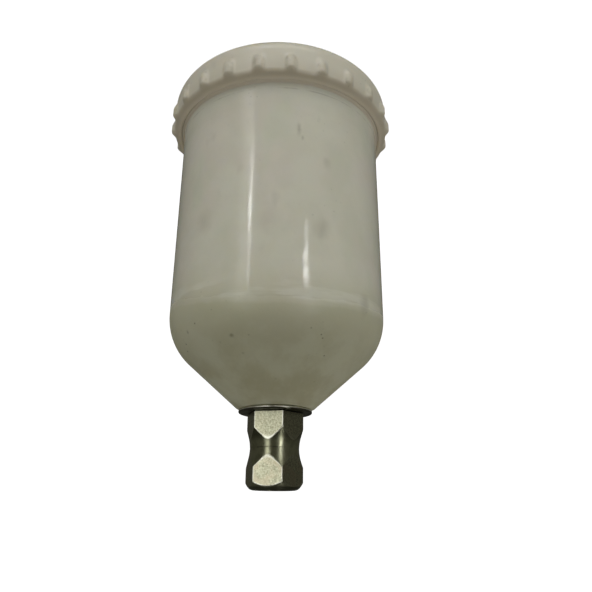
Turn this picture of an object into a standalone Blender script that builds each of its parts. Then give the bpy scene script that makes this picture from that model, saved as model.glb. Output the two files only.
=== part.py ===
"""Gravity-feed paint cup for a spray gun or airbrush gun.

A moulded nylon cup with a screw lid, a vent with a drip check, and a turned steel hex coupler
with its seals, hollow screw and push-in strainer. The origin is the centre of the coupler's
lower end face, where the gun's inlet screws in, and +Z is the cup's axis, towards the lid.
Positive X is to the right of somebody who looks along +Y.
"""

import math

import bmesh
import bpy
from mathutils import Matrix, Vector

MM = 0.001
REST_GAP = 0.3 * MM
RUNNING_GAP = 0.1 * MM

# ---------------------------------------------------------------- driving dimensions
HEX_ACROSS_FLATS = 19.0 * MM
HEX_TURN = math.radians(15.35)
COUPLER_HEIGHT = 27.4 * MM
WAIST_Z = 14.65 * MM
WAIST_R = 9.2 * MM
WAIST_ARC_R = 14.4 * MM
COUPLER_END_R = 8.7 * MM
SOCKET_R = 6.6 * MM
SOCKET_DEPTH = 13.0 * MM
STEM_SOCKET_Z = 15.0 * MM

STEM_R = 7.0 * MM
STEM_BORE_R = 4.6 * MM
STEM_HEAD_R = 11.0 * MM
STEM_HEAD_H = 2.5 * MM
STEM_SLOT_W = 3.0 * MM
STEM_SLOT_DEPTH = 1.2 * MM

WASHER_R = 14.0 * MM
WASHER_H = 1.0 * MM
STEM_SEAL_H = 1.5 * MM

CUP_R = 42.25 * MM
CUP_TOP_R = 42.1 * MM
CUP_WALL = 2.25 * MM
CUP_BASE_H = 3.0 * MM
CONE_END_R = 14.3 * MM
CONE_ANGLE = math.radians(48.6)
SHOULDER_R = 23.0 * MM
SHOULDER_Z = 64.05 * MM
NECK_R = 41.5 * MM
NECK_Z = 150.2 * MM
NECK_BEAD_R = 43.2 * MM
NECK_BEAD_H = 2.2 * MM
RIM_Z = 161.5 * MM

THREAD_PITCH = 4.0 * MM
THREAD_BASE_HALF = 0.9 * MM
THREAD_CREST_HALF = 0.5 * MM
CUP_THREAD_R = 43.1 * MM
CUP_THREAD_Z = 152.0 * MM
CUP_THREAD_TURNS = 1.75
LID_THREAD_R = 41.9 * MM
LID_THREAD_TURNS = 1.5

LID_Z = 147.4 * MM
LID_H = 19.1 * MM
LID_PLATE = 2.4 * MM
LID_SKIRT_R = 43.5 * MM
LID_BAND_R = 46.8 * MM
LID_EDGE_R = 7.6 * MM
LID_FOOT_R = 2.6 * MM
GRIP_RIB_R = 48.35 * MM
GRIP_RIB_COUNT = 24
GRIP_RIB_PHASE = math.radians(-85.8)
GRIP_RIB_LOW = 1.4 * MM
GRIP_RIB_HIGH = 8.8 * MM
GRIP_RIB_HALF = 2.8 * MM
LID_STEPS = 72

GASKET_R = 43.2 * MM
GASKET_HOLE_R = 40.0 * MM
GASKET_H = 2.0 * MM
GASKET_RIB_H = 3.6 * MM

DIAL_R = 9.5 * MM
DIAL_H = 1.7 * MM
DIAL_STEM_R = 3.0 * MM
VENT_BOSS_R = 11.0 * MM
VENT_BOSS_H = 1.5 * MM
VENT_HOLE_R = 1.3 * MM
VENT_HOLE_AT = 6.8 * MM
O_RING_R = 4.0 * MM
O_RING_WIRE_R = 0.7 * MM

SPIGOT_R = 12.0 * MM
SPIGOT_H = 5.7 * MM
SEAT_R = 9.4 * MM
SEAT_H = 3.2 * MM
SHIELD_R = 13.6 * MM
SHIELD_PLATE = 1.5 * MM
SHIELD_HOLES = 6
DISC_R = 9.8 * MM
DISC_H = 0.8 * MM

COLLAR_R = 4.4 * MM
COLLAR_BORE_R = 3.5 * MM
COLLAR_H = 10.0 * MM
STRAINER_R = 7.2 * MM
STRAINER_H = 40.0 * MM
SCREEN_R = 5.7 * MM
SCREEN_WALL = 0.4 * MM
RIB_COUNT = 4

ROUND_STEPS = 48
SMALL_STEPS = 32
ARC_STEPS = 6
SHARP_ANGLE = math.radians(35)
MERGE = 0.000001

# ---------------------------------------------------------------- heights of the stack
WASHER_Z = COUPLER_HEIGHT + REST_GAP
CUP_Z = WASHER_Z + WASHER_H + REST_GAP
CUP_FLOOR_Z = CUP_Z + CUP_BASE_H
STEM_SEAL_Z = CUP_FLOOR_Z + REST_GAP
STEM_HEAD_Z = STEM_SEAL_Z + STEM_SEAL_H + REST_GAP
STRAINER_Z = STEM_HEAD_Z + STEM_HEAD_H + REST_GAP
GASKET_Z = RIM_Z + REST_GAP
LID_TOP = LID_H
LID_CEILING = LID_H - LID_PLATE
DIAL_Z = LID_Z + LID_H + VENT_BOSS_H + REST_GAP


# ---------------------------------------------------------------- scene and helpers
def clear_scene():
    for obj in list(bpy.data.objects):
        bpy.data.objects.remove(obj, do_unlink=True)


def new_collection(name):
    collection = bpy.data.collections.new(name)
    bpy.context.scene.collection.children.link(collection)
    return collection


def principled(name, colour, roughness, metallic=0.0):
    """A plain material with the piece's colour, roughness and metallic value."""
    material = bpy.data.materials.new(name)
    material.use_nodes = True
    shader = material.node_tree.nodes["Principled BSDF"]
    shader.inputs["Base Color"].default_value = (*colour, 1.0)
    shader.inputs["Roughness"].default_value = roughness
    shader.inputs["Metallic"].default_value = metallic
    material.diffuse_color = (*colour, 1.0)
    return material


def add_object(name, mesh, material=None):
    obj = bpy.data.objects.new(name, mesh)
    PARTS.objects.link(obj)
    if material:
        mesh.materials.append(material)
    return obj


def evaluated_mesh(obj):
    depsgraph = bpy.context.evaluated_depsgraph_get()
    return bpy.data.meshes.new_from_object(obj.evaluated_get(depsgraph))


def arc(centre_r, centre_z, radius, start_deg, end_deg, steps=ARC_STEPS):
    """Points of an arc in the half plane of a turned outline, both ends included."""
    points = []
    for i in range(steps + 1):
        angle = math.radians(start_deg + (end_deg - start_deg) * i / steps)
        points.append((centre_r + radius * math.cos(angle), centre_z + radius * math.sin(angle)))
    return points


def turned(name, outline, material=None, steps=ROUND_STEPS):
    """A solid turned about Z. The outline of (radius, height) runs down its outer side.

    An outline that starts on the axis ends there, and any other closes on itself.
    """
    count = len(outline)
    edges = [(i, i + 1) for i in range(count - 1)]
    if outline[0][0] > 0.0:
        edges.append((count - 1, 0))
    profile = bpy.data.meshes.new(name)
    profile.from_pydata([(r, 0.0, z) for r, z in outline], edges, [])
    obj = add_object(name, profile)
    screw = obj.modifiers.new("turn", "SCREW")
    screw.steps = steps
    screw.render_steps = steps
    screw.use_merge_vertices = True
    screw.merge_threshold = MERGE
    mesh = evaluated_mesh(obj)
    obj.modifiers.clear()
    obj.data = mesh
    bpy.data.meshes.remove(profile)
    mesh.name = name
    mesh.shade_smooth()
    mesh.set_sharp_from_angle(angle=SHARP_ANGLE)
    if material:
        mesh.materials.append(material)
    return obj


def ring(name, outer_r, inner_r, height, material, steps=SMALL_STEPS, edge=0.2 * MM):
    """A flat ring that stands on its origin, with its two outer edges broken."""
    outline = [
        (inner_r, height),
        (outer_r - edge, height),
        (outer_r, height - edge),
        (outer_r, edge),
        (outer_r - edge, 0.0),
        (inner_r, 0.0),
    ]
    return turned(name, outline, material, steps)


def from_bmesh(name, shape, material=None):
    mesh = bpy.data.meshes.new(name)
    bmesh.ops.recalc_face_normals(shape, faces=shape.faces)
    shape.to_mesh(mesh)
    shape.free()
    return add_object(name, mesh, material)


def cylinders(name, radius, low, high, places, steps=16):
    """One cutter of upright cylinders, one at each (x, y)."""
    shape = bmesh.new()
    for x, y in places:
        bmesh.ops.create_cone(
            shape,
            cap_ends=True,
            segments=steps,
            radius1=radius,
            radius2=radius,
            depth=high - low,
            matrix=Matrix.Translation((x, y, (low + high) / 2)),
        )
    return from_bmesh(name, shape)


def block(name, size, centre, turn=0.0):
    """A box of the given size, turned about Z and then centred."""
    shape = bmesh.new()
    placing = Matrix.Translation(centre) @ Matrix.Rotation(turn, 4, "Z")
    bmesh.ops.create_cube(shape, size=1.0, matrix=placing @ Matrix.Diagonal((*size, 1.0)))
    return from_bmesh(name, shape)


def around(radius, angle):
    return (radius * math.cos(angle), radius * math.sin(angle))


def helical_ridge(name, buried_r, crest_r, low, turns):
    """A right-hand thread ridge: its section is a face that is spun about Z as it climbs."""
    shape = bmesh.new()
    section = [
        (buried_r, low - THREAD_BASE_HALF),
        (crest_r, low - THREAD_CREST_HALF),
        (crest_r, low + THREAD_CREST_HALF),
        (buried_r, low + THREAD_BASE_HALF),
    ]
    face = shape.faces.new([shape.verts.new((r, 0.0, z)) for r, z in section])
    steps = round(turns * ROUND_STEPS * 0.75)
    bmesh.ops.spin(
        shape,
        geom=[face],
        cent=(0.0, 0.0, 0.0),
        axis=(0.0, 0.0, 1.0),
        dvec=(0.0, 0.0, THREAD_PITCH * turns / steps),
        angle=2.0 * math.pi * turns,
        steps=steps,
    )
    return from_bmesh(name, shape)


def combine(target, tool, operation):
    """Join, cut or intersect a part with a tool, which moves to the cutters' collection."""
    modifier = target.modifiers.new(tool.name, "BOOLEAN")
    modifier.operation = operation
    modifier.solver = "EXACT"
    modifier.object = tool
    PARTS.objects.unlink(tool)
    CUTTERS.objects.link(tool)
    tool.parent = target
    tool.hide_render = True
    tool.display_type = "WIRE"


def stand(obj, height, parent=None):
    """Put a piece's origin at a height on the axis, under its joint's empty if it moves."""
    obj.location.z = height
    if parent:
        obj.parent = parent
        obj.matrix_parent_inverse = Matrix.Translation(-parent.location)


def joint_empty(name, height):
    empty = bpy.data.objects.new(name, None)
    empty.empty_display_size = 0.02
    empty.location.z = height
    PARTS.objects.link(empty)
    return empty


# ---------------------------------------------------------------- outlet fittings
def make_hex_coupler():
    """Hex bar with a turned waist: the gun's thread enters below, the hollow screw above."""
    corner_r = HEX_ACROSS_FLATS / math.sqrt(3.0)
    clear_r = corner_r + 0.4 * MM
    shape = bmesh.new()
    bmesh.ops.create_cone(
        shape,
        cap_ends=True,
        segments=6,
        radius1=corner_r,
        radius2=corner_r,
        depth=COUPLER_HEIGHT + 2.0 * MM,
        matrix=Matrix.Translation((0.0, 0.0, COUPLER_HEIGHT / 2)) @ Matrix.Rotation(HEX_TURN, 4, "Z"),
    )
    coupler = from_bmesh("hex_coupler", shape, STEEL)
    arc_centre_r = WAIST_R + WAIST_ARC_R
    half_deg = math.degrees(math.acos((arc_centre_r - clear_r) / WAIST_ARC_R))
    waist = arc(arc_centre_r, WAIST_Z, WAIST_ARC_R, 180.0 - half_deg, 180.0 + half_deg, 12)
    stem_hole_r = STEM_R + REST_GAP
    outline = [(stem_hole_r, COUPLER_HEIGHT), (clear_r, COUPLER_HEIGHT)]
    outline += waist
    outline += [
        (clear_r, 2.8 * MM),
        (clear_r - 0.9 * MM, 1.4 * MM),
        (COUPLER_END_R + 0.8 * MM, 0.6 * MM),
        (COUPLER_END_R, 0.0),
        (SOCKET_R + 0.5 * MM, 0.0),
        (SOCKET_R, 0.5 * MM),
        (SOCKET_R, SOCKET_DEPTH),
        (STEM_BORE_R, SOCKET_DEPTH),
        (STEM_BORE_R, STEM_SOCKET_Z),
        (stem_hole_r, STEM_SOCKET_Z),
    ]
    combine(coupler, turned("coupler_turning", outline, steps=48), "INTERSECT")
    return coupler


def make_coupler_seal():
    seal = ring("coupler_seal", SOCKET_R - REST_GAP, STEM_BORE_R + 0.2 * MM, 1.4 * MM, RUBBER)
    stand(seal, SOCKET_DEPTH - REST_GAP - 1.4 * MM)
    return seal


def make_seat_washer():
    washer = ring("seat_washer", WASHER_R, STEM_R + REST_GAP, WASHER_H, STEEL, 48, 0.25 * MM)
    stand(washer, WASHER_Z)
    return washer


def make_outlet_stem():
    """Hollow screw: its slotted head clamps the cup's floor, its shank holds the coupler."""
    low = STEM_SOCKET_Z + REST_GAP - STEM_HEAD_Z
    outline = [
        (STEM_BORE_R, STEM_HEAD_H),
        (STEM_HEAD_R - 0.5 * MM, STEM_HEAD_H),
        (STEM_HEAD_R, STEM_HEAD_H - 0.5 * MM),
        (STEM_HEAD_R, 0.0),
        (STEM_R, 0.0),
        (STEM_R, low + 0.6 * MM),
        (STEM_R - 0.6 * MM, low),
        (STEM_BORE_R, low),
    ]
    stem = turned("outlet_stem", outline, STEEL, SMALL_STEPS)
    slot_size = (3.0 * STEM_HEAD_R, STEM_SLOT_W, 2.0 * STEM_SLOT_DEPTH)
    combine(stem, block("stem_slot", slot_size, (0.0, 0.0, STEM_HEAD_H)), "DIFFERENCE")
    stand(stem, STEM_HEAD_Z)
    return stem


def make_stem_seal():
    seal = ring("stem_seal", STEM_HEAD_R - 0.2 * MM, STEM_R + REST_GAP, STEM_SEAL_H, NYLON_TRIM)
    stand(seal, STEM_SEAL_Z)
    return seal


# ---------------------------------------------------------------- cup
def cup_side(offset):
    """The cup's side from the wall down to the cone's end, moved inwards by an offset."""
    centre_r = CUP_R - SHOULDER_R
    return arc(centre_r, SHOULDER_Z, SHOULDER_R - offset, 0.0, -math.degrees(CONE_ANGLE), 8)


def cone_radius(height, offset):
    """The cone's radius at a height: it leaves the shoulder's arc on a tangent."""
    normal = (math.cos(CONE_ANGLE), -math.sin(CONE_ANGLE))
    start_r = CUP_R - SHOULDER_R + (SHOULDER_R - offset) * normal[0]
    start_z = SHOULDER_Z + (SHOULDER_R - offset) * normal[1]
    return start_r - (start_z - height) * math.tan(CONE_ANGLE)


def make_cup_body():
    """Thin moulded cup: threaded neck and its bead, wall, round shoulder, cone and thick floor."""
    edge = 0.4 * MM
    outline = [
        (CUP_TOP_R - CUP_WALL, RIM_Z),
        (NECK_R - edge, RIM_Z),
        (NECK_R, RIM_Z - edge),
        (NECK_R, NECK_Z),
        (NECK_BEAD_R - edge, NECK_Z),
        (NECK_BEAD_R, NECK_Z - edge),
        (NECK_BEAD_R, NECK_Z - NECK_BEAD_H + edge),
        (NECK_BEAD_R - edge, NECK_Z - NECK_BEAD_H),
        (CUP_TOP_R, NECK_Z - NECK_BEAD_H),
    ]
    outline += cup_side(0.0)
    outline += [
        (cone_radius(CUP_Z + edge, 0.0), CUP_Z + edge),
        (CONE_END_R - edge, CUP_Z),
        (STEM_R + REST_GAP, CUP_Z),
        (STEM_R + REST_GAP, CUP_FLOOR_Z),
        (cone_radius(CUP_FLOOR_Z, CUP_WALL), CUP_FLOOR_Z),
    ]
    outline += reversed(cup_side(CUP_WALL))
    cup = turned("cup_body", outline, NYLON)
    thread = helical_ridge("cup_thread", NECK_R - 0.5 * MM, CUP_THREAD_R, CUP_THREAD_Z, CUP_THREAD_TURNS)
    combine(cup, thread, "UNION")
    return cup


# ---------------------------------------------------------------- lid
def grip_ribs():
    """Raised ribs round the skirt, each one narrower and shorter towards its crest."""
    rise = GRIP_RIB_R - LID_BAND_R
    levels = [
        (LID_BAND_R - MM, 1.0, 0.0, 0.0),
        (LID_BAND_R + 0.1 * rise, 0.95, 0.2 * MM, 0.3 * MM),
        (LID_BAND_R + 0.75 * rise, 0.5, 0.9 * MM, 1.8 * MM),
        (GRIP_RIB_R, 0.2, 1.6 * MM, 3.0 * MM),
    ]
    shape = bmesh.new()
    for i in range(GRIP_RIB_COUNT):
        turn = Matrix.Rotation(GRIP_RIB_PHASE + 2.0 * math.pi * i / GRIP_RIB_COUNT, 4, "Z")
        rings = []
        for radius, share, low_cut, high_cut in levels:
            half = share * GRIP_RIB_HALF
            low = GRIP_RIB_LOW + low_cut
            high = GRIP_RIB_HIGH - high_cut
            corners = [(radius, -half, low), (radius, half, low), (radius, half, high), (radius, -half, high)]
            rings.append([shape.verts.new(turn @ Vector(corner)) for corner in corners])
        shape.faces.new(rings[0])
        shape.faces.new(rings[-1])
        for inner, outer in zip(rings, rings[1:]):
            for k in range(4):
                n = (k + 1) % 4
                shape.faces.new([inner[k], inner[n], outer[n], outer[k]])
    return from_bmesh("lid_grip_ribs", shape)


def make_lid(axis):
    """Screw lid: ribbed grip, rounded top edge, gasket rib, vent boss, spigot and check seat."""
    edge = 0.5 * MM
    rib_r = GASKET_HOLE_R - 0.5 * MM
    boss_top = LID_TOP + VENT_BOSS_H
    bore_r = DIAL_STEM_R + RUNNING_GAP
    groove_r = O_RING_R + O_RING_WIRE_R + REST_GAP
    outline = [
        (bore_r, LID_TOP - edge),
        (groove_r, LID_TOP - edge),
        (groove_r, boss_top),
        (VENT_BOSS_R - edge, boss_top),
        (VENT_BOSS_R, boss_top - edge),
        (VENT_BOSS_R, LID_TOP),
    ]
    outline += arc(LID_BAND_R - LID_EDGE_R, LID_TOP - LID_EDGE_R, LID_EDGE_R, 90.0, 0.0)
    outline += [
        (LID_BAND_R, LID_FOOT_R),
        (LID_BAND_R - 0.3 * LID_FOOT_R, 0.3 * LID_FOOT_R),
        (LID_BAND_R - LID_FOOT_R, 0.0),
        (LID_SKIRT_R + edge, 0.0),
        (LID_SKIRT_R, edge),
        (LID_SKIRT_R, LID_CEILING),
        (rib_r, LID_CEILING),
        (rib_r, LID_CEILING - GASKET_RIB_H),
        (rib_r - 1.5 * MM, LID_CEILING - GASKET_RIB_H),
        (rib_r - 1.5 * MM, LID_CEILING),
        (SPIGOT_R, LID_CEILING),
        (SPIGOT_R, LID_CEILING - SPIGOT_H),
        (SPIGOT_R - 1.5 * MM, LID_CEILING - SPIGOT_H),
        (SPIGOT_R - 1.5 * MM, LID_CEILING),
        (SEAT_R, LID_CEILING),
        (SEAT_R, LID_CEILING - SEAT_H),
        (SEAT_R - 0.8 * MM, LID_CEILING - SEAT_H),
        (SEAT_R - 0.8 * MM, LID_CEILING),
        (bore_r, LID_CEILING),
    ]
    lid = turned("lid", outline, NYLON, LID_STEPS)
    combine(lid, grip_ribs(), "UNION")
    thread_low = CUP_THREAD_Z + THREAD_PITCH / 2 - LID_Z
    thread = helical_ridge("lid_thread", LID_SKIRT_R + 0.6 * MM, LID_THREAD_R, thread_low, LID_THREAD_TURNS)
    combine(lid, thread, "UNION")
    hole = cylinders("lid_vent_hole", VENT_HOLE_R, 0.0, 2.0 * LID_H, [(VENT_HOLE_AT, 0.0)])
    combine(lid, hole, "DIFFERENCE")
    stand(lid, LID_Z, axis)
    return lid


def make_lid_gasket(lift):
    gasket = ring("lid_gasket", GASKET_R, GASKET_HOLE_R, GASKET_H, RUBBER, ROUND_STEPS)
    stand(gasket, GASKET_Z, lift)
    return gasket


def make_vent_o_ring(axis):
    """Round seal in the boss's groove, round the dial's stem."""
    outline = arc(O_RING_R, 0.0, O_RING_WIRE_R, 90.0, -270.0, 10)[:-1]
    o_ring = turned("vent_o_ring", outline, RUBBER, 24)
    stand(o_ring, LID_Z + LID_TOP - 0.5 * MM + REST_GAP + O_RING_WIRE_R, axis)
    return o_ring


def make_vent_dial(dial_axis):
    """Twist cap with a grip bar, a stem with a clip groove, and an off-centre vent hole."""
    edge = 0.4 * MM
    clip_top = -(VENT_BOSS_H + LID_PLATE + REST_GAP) - 0.2 * MM
    clip_low = clip_top - 1.5 * MM
    stem_end = clip_low - 0.9 * MM
    groove_r = DIAL_STEM_R - 0.8 * MM
    outline = [
        (0.0, DIAL_H),
        (DIAL_R - edge, DIAL_H),
        (DIAL_R, DIAL_H - edge),
        (DIAL_R, 0.0),
        (DIAL_STEM_R, 0.0),
        (DIAL_STEM_R, clip_top),
        (groove_r, clip_top),
        (groove_r, clip_low),
        (DIAL_STEM_R, clip_low),
        (DIAL_STEM_R - edge, stem_end),
        (0.0, stem_end),
    ]
    dial = turned("vent_dial", outline, NYLON_TRIM, SMALL_STEPS)
    bar_size = (1.5 * DIAL_R, 3.6 * MM, 4.0 * MM)
    combine(dial, block("dial_grip", bar_size, (0.0, 0.0, DIAL_H + 1.0 * MM)), "UNION")
    place = around(VENT_HOLE_AT, -math.pi / 2)
    hole = cylinders("dial_vent_hole", VENT_HOLE_R, -DIAL_H, 2.0 * DIAL_H, [place])
    combine(dial, hole, "DIFFERENCE")
    stand(dial, DIAL_Z, dial_axis)
    return dial


def make_vent_retainer(dial_axis):
    """Open clip that snaps into the groove of the dial's stem, under the lid."""
    height = 1.0 * MM
    inner_r = DIAL_STEM_R - 0.6 * MM
    clip = ring("vent_retainer", 5.2 * MM, inner_r, height, STEEL, 24, 0.1 * MM)
    mouth = (6.0 * MM, 2.0 * inner_r - 0.8 * MM, 3.0 * height)
    combine(clip, block("clip_mouth", mouth, (4.5 * MM, 0.0, height / 2)), "DIFFERENCE")
    stand(clip, LID_Z + LID_CEILING - 0.2 * MM - 1.25 * MM, dial_axis)
    return clip


def make_drip_shield(axis):
    """Snap-on baffle under the vent, with holes that let air past but catch splashes."""
    wall_r = SPIGOT_R + REST_GAP
    top = SHIELD_PLATE + REST_GAP + SPIGOT_H - 0.9 * MM
    outline = [
        (0.0, SHIELD_PLATE),
        (wall_r, SHIELD_PLATE),
        (wall_r, top),
        (SHIELD_R - 0.3 * MM, top),
        (SHIELD_R, top - 0.3 * MM),
        (SHIELD_R, 0.8 * MM),
        (SHIELD_R - 0.8 * MM, 0.0),
        (0.0, 0.0),
    ]
    shield = turned("drip_shield", outline, NYLON_TRIM, SMALL_STEPS)
    places = [around(8.0 * MM, 2.0 * math.pi * i / SHIELD_HOLES) for i in range(SHIELD_HOLES)]
    combine(shield, cylinders("shield_holes", 1.5 * MM, -MM, 3.0 * MM, places, 12), "DIFFERENCE")
    stand(shield, LID_Z + LID_CEILING - SPIGOT_H - REST_GAP - SHIELD_PLATE, axis)
    return shield


def make_drip_check_disc(check):
    outline = [
        (0.0, DISC_H),
        (DISC_R - 0.2 * MM, DISC_H),
        (DISC_R, DISC_H - 0.2 * MM),
        (DISC_R, 0.2 * MM),
        (DISC_R - 0.2 * MM, 0.0),
        (0.0, 0.0),
    ]
    disc = turned("drip_check_disc", outline, RUBBER, SMALL_STEPS)
    stand(disc, LID_Z + LID_CEILING - SPIGOT_H, check)
    return disc


# ---------------------------------------------------------------- strainer
def make_filter_frame(pull):
    """Push-in strainer frame: collar in the hollow screw, flange, ribs and a cap with a nub."""
    outline = [
        (COLLAR_BORE_R, 1.2 * MM),
        (STRAINER_R + 0.8 * MM, 1.2 * MM),
        (STRAINER_R + 0.8 * MM, 0.0),
        (COLLAR_R, 0.0),
        (COLLAR_R, 0.5 * MM - COLLAR_H),
        (COLLAR_R - 0.5 * MM, -COLLAR_H),
        (COLLAR_BORE_R, -COLLAR_H),
    ]
    frame = turned("filter_frame", outline, NYLON_TRIM, SMALL_STEPS)
    cap = [
        (0.0, STRAINER_H + 7.0 * MM),
        (1.6 * MM, STRAINER_H + 7.0 * MM),
        (2.2 * MM, STRAINER_H + 6.0 * MM),
        (2.2 * MM, STRAINER_H + 2.0 * MM),
        (STRAINER_R - 0.5 * MM, STRAINER_H + 2.0 * MM),
        (STRAINER_R, STRAINER_H + 1.5 * MM),
        (STRAINER_R, STRAINER_H),
        (0.0, STRAINER_H),
    ]
    rib_span = STRAINER_R - SCREEN_R - REST_GAP - 0.1 * MM
    rib_size = (rib_span, 1.4 * MM, STRAINER_H + 0.8 * MM)
    for i in range(RIB_COUNT):
        angle = math.pi / 4 + 2.0 * math.pi * i / RIB_COUNT
        x, y = around(SCREEN_R + REST_GAP + rib_span / 2, angle)
        rib = block(f"strainer_rib_{i}", rib_size, (x, y, 0.6 * MM + rib_size[2] / 2), angle)
        combine(frame, rib, "UNION")
    combine(frame, turned("strainer_cap", cap, steps=SMALL_STEPS), "UNION")
    stand(frame, STRAINER_Z, pull)
    return frame


def make_filter_screen(pull):
    length = STRAINER_H - 1.2 * MM - 2.0 * REST_GAP
    inner_r = SCREEN_R - SCREEN_WALL
    outline = [(inner_r, length), (SCREEN_R, length), (SCREEN_R, 0.0), (inner_r, 0.0)]
    screen = turned("filter_screen", outline, STEEL, SMALL_STEPS)
    stand(screen, STRAINER_Z + 1.2 * MM + REST_GAP, pull)
    return screen


# ---------------------------------------------------------------- assembly
clear_scene()
PARTS = new_collection("gravity_feed_paint_cup")
CUTTERS = new_collection("cutters")
NYLON = principled("natural_nylon", (0.40, 0.39, 0.32), 0.32)
NYLON_TRIM = principled("white_nylon_trim", (0.55, 0.54, 0.47), 0.40)
STEEL = principled("turned_steel", (0.42, 0.41, 0.36), 0.35, 1.0)
RUBBER = principled("black_rubber", (0.03, 0.03, 0.03), 0.70)

lid_lift = joint_empty("lid_lift_axis", GASKET_Z)
lid_turn = joint_empty("lid_turn_axis", LID_Z)
vent_turn = joint_empty("vent_turn_axis", DIAL_Z)
check_lift = joint_empty("drip_check_axis", LID_Z)
filter_pull = joint_empty("filter_pull_axis", STRAINER_Z)

make_hex_coupler()
make_coupler_seal()
make_seat_washer()
make_outlet_stem()
make_stem_seal()
make_cup_body()
make_lid_gasket(lid_lift)
make_lid(lid_turn)
make_vent_o_ring(lid_turn)
make_drip_shield(lid_turn)
make_vent_dial(vent_turn)
make_vent_retainer(vent_turn)
make_drip_check_disc(check_lift)
make_filter_frame(filter_pull)
make_filter_screen(filter_pull)
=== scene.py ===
import math

import bmesh
import bpy
from mathutils import Matrix, Vector


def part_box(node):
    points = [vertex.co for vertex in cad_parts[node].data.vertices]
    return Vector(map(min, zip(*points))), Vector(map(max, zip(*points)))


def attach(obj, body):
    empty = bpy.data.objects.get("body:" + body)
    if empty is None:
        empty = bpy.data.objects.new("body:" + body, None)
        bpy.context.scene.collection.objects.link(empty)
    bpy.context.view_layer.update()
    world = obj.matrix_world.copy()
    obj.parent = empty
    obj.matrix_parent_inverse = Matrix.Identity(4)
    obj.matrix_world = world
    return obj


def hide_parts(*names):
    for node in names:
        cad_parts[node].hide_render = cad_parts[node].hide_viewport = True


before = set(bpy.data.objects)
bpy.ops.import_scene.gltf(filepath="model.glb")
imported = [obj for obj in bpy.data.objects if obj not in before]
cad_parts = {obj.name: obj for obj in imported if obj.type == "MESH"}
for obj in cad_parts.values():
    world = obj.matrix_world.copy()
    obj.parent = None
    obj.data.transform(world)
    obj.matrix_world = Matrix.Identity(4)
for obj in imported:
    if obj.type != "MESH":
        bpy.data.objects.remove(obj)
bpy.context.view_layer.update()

MM = 0.001
TAU = 2.0 * math.pi


# ---------------------------------------------------------------- dimensions
def low(node):
    """Height of a CAD node's lowest point."""
    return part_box(node)[0].z


def high(node):
    """Height of a CAD node's highest point."""
    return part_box(node)[1].z


HEX_ACROSS_FLATS = 19.0 * MM
HEX_TURN = math.radians(-104.65)
WAIST_Z = 14.65 * MM
WAIST_R = 9.2 * MM
WAIST_ARC_R = 14.4 * MM
SOCKET_R = 6.6 * MM
SOCKET_DEPTH = 13.0 * MM
STEM_HOLE_R = 7.3 * MM
STEM_SOCKET_Z = 15.0 * MM
BORE_R = 4.6 * MM
COUPLER_END_R = 8.7 * MM
COUPLER_END_SLOPE = 0.92
COUPLER_THREAD_PITCH = 1.337 * MM

CUP_R = 42.25 * MM
CUP_TOP_R = 42.1 * MM
CUP_WALL = 2.25 * MM
CUP_FLOOR_H = 3.0 * MM
CONE_END_R = 14.3 * MM
CONE_ANGLE = math.radians(48.6)
SHOULDER_R = 23.0 * MM
SHOULDER_Z = 64.05 * MM
NECK_R = 41.5 * MM
NECK_Z = 150.2 * MM
NECK_BEAD_R = 43.4 * MM
NECK_BEAD_LOW = 147.55 * MM

THREAD_PITCH = 4.0 * MM
CUP_THREAD_Z = 152.0 * MM
CUP_THREAD_R = 43.05 * MM
LID_THREAD_R = 41.95 * MM

LID_SKIRT_R = 43.5 * MM
LID_BAND_R = 46.8 * MM
LID_EDGE_R = 7.6 * MM
LID_PLATE = 2.4 * MM
LID_FOOT_R = 2.8 * MM
GRIP_RIB_R = 48.34 * MM
GRIP_RIB_COUNT = 24
GRIP_RIB_PHASE = math.radians(-85.8)
BOSS_R = 11.0 * MM
BOSS_H = 1.5 * MM
LID_Z = low("lid")

VENT_HOLE_R = 1.3 * MM
VENT_HOLE_OFFSET = 6.8 * MM
DIAL_SHANK_R = 3.0 * MM
AXIS_R = 0.02 * MM


# ---------------------------------------------------------------- mesh helpers
def smoothstep(x):
    """Zero below 0, one above 1, and a smooth rise between."""
    x = min(1.0, max(0.0, x))
    return x * x * (3.0 - 2.0 * x)


def soft_min(values, width):
    """The least value, with a rounded change-over of about the given width."""
    least = min(values)
    total = sum(math.exp(-(v - least) / width) for v in values)
    return least - width * math.log(total)


def link(name, mesh, material, body, node):
    """One finished piece: it rides on a body, takes a material and stands for a CAD node."""
    piece = bpy.data.objects.new(name, mesh)
    bpy.context.scene.collection.objects.link(piece)
    mesh.materials.clear()
    mesh.materials.append(material)
    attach(piece, body)
    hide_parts(node)
    return piece


def arc(centre_r, centre_z, radius, start_deg, end_deg, steps=8):
    """Points along an arc of an outline; 0 degrees points outward and 90 up."""
    points = []
    for i in range(steps + 1):
        a = math.radians(start_deg + (end_deg - start_deg) * i / steps)
        points.append((centre_r + radius * math.cos(a), centre_z + radius * math.sin(a)))
    return points


def rounded(corners, steps=4):
    """A closed outline from (radius, height, corner radius): each corner becomes a smooth arch."""
    points = []
    count = len(corners)
    for i, (r, z, fillet) in enumerate(corners):
        here = Vector((r, z))
        back = Vector(corners[i - 1][:2]) - here
        ahead = Vector(corners[(i + 1) % count][:2]) - here
        cut = min(fillet, 0.45 * back.length, 0.45 * ahead.length)
        if cut <= 0.0:
            points.append((r, z))
            continue
        a = here + back.normalized() * cut
        b = here + ahead.normalized() * cut
        for k in range(steps + 1):
            t = k / steps
            p = a * (1 - t) ** 2 + here * (2 * t * (1 - t)) + b * t ** 2
            points.append((p.x, p.y))
    return points


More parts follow.
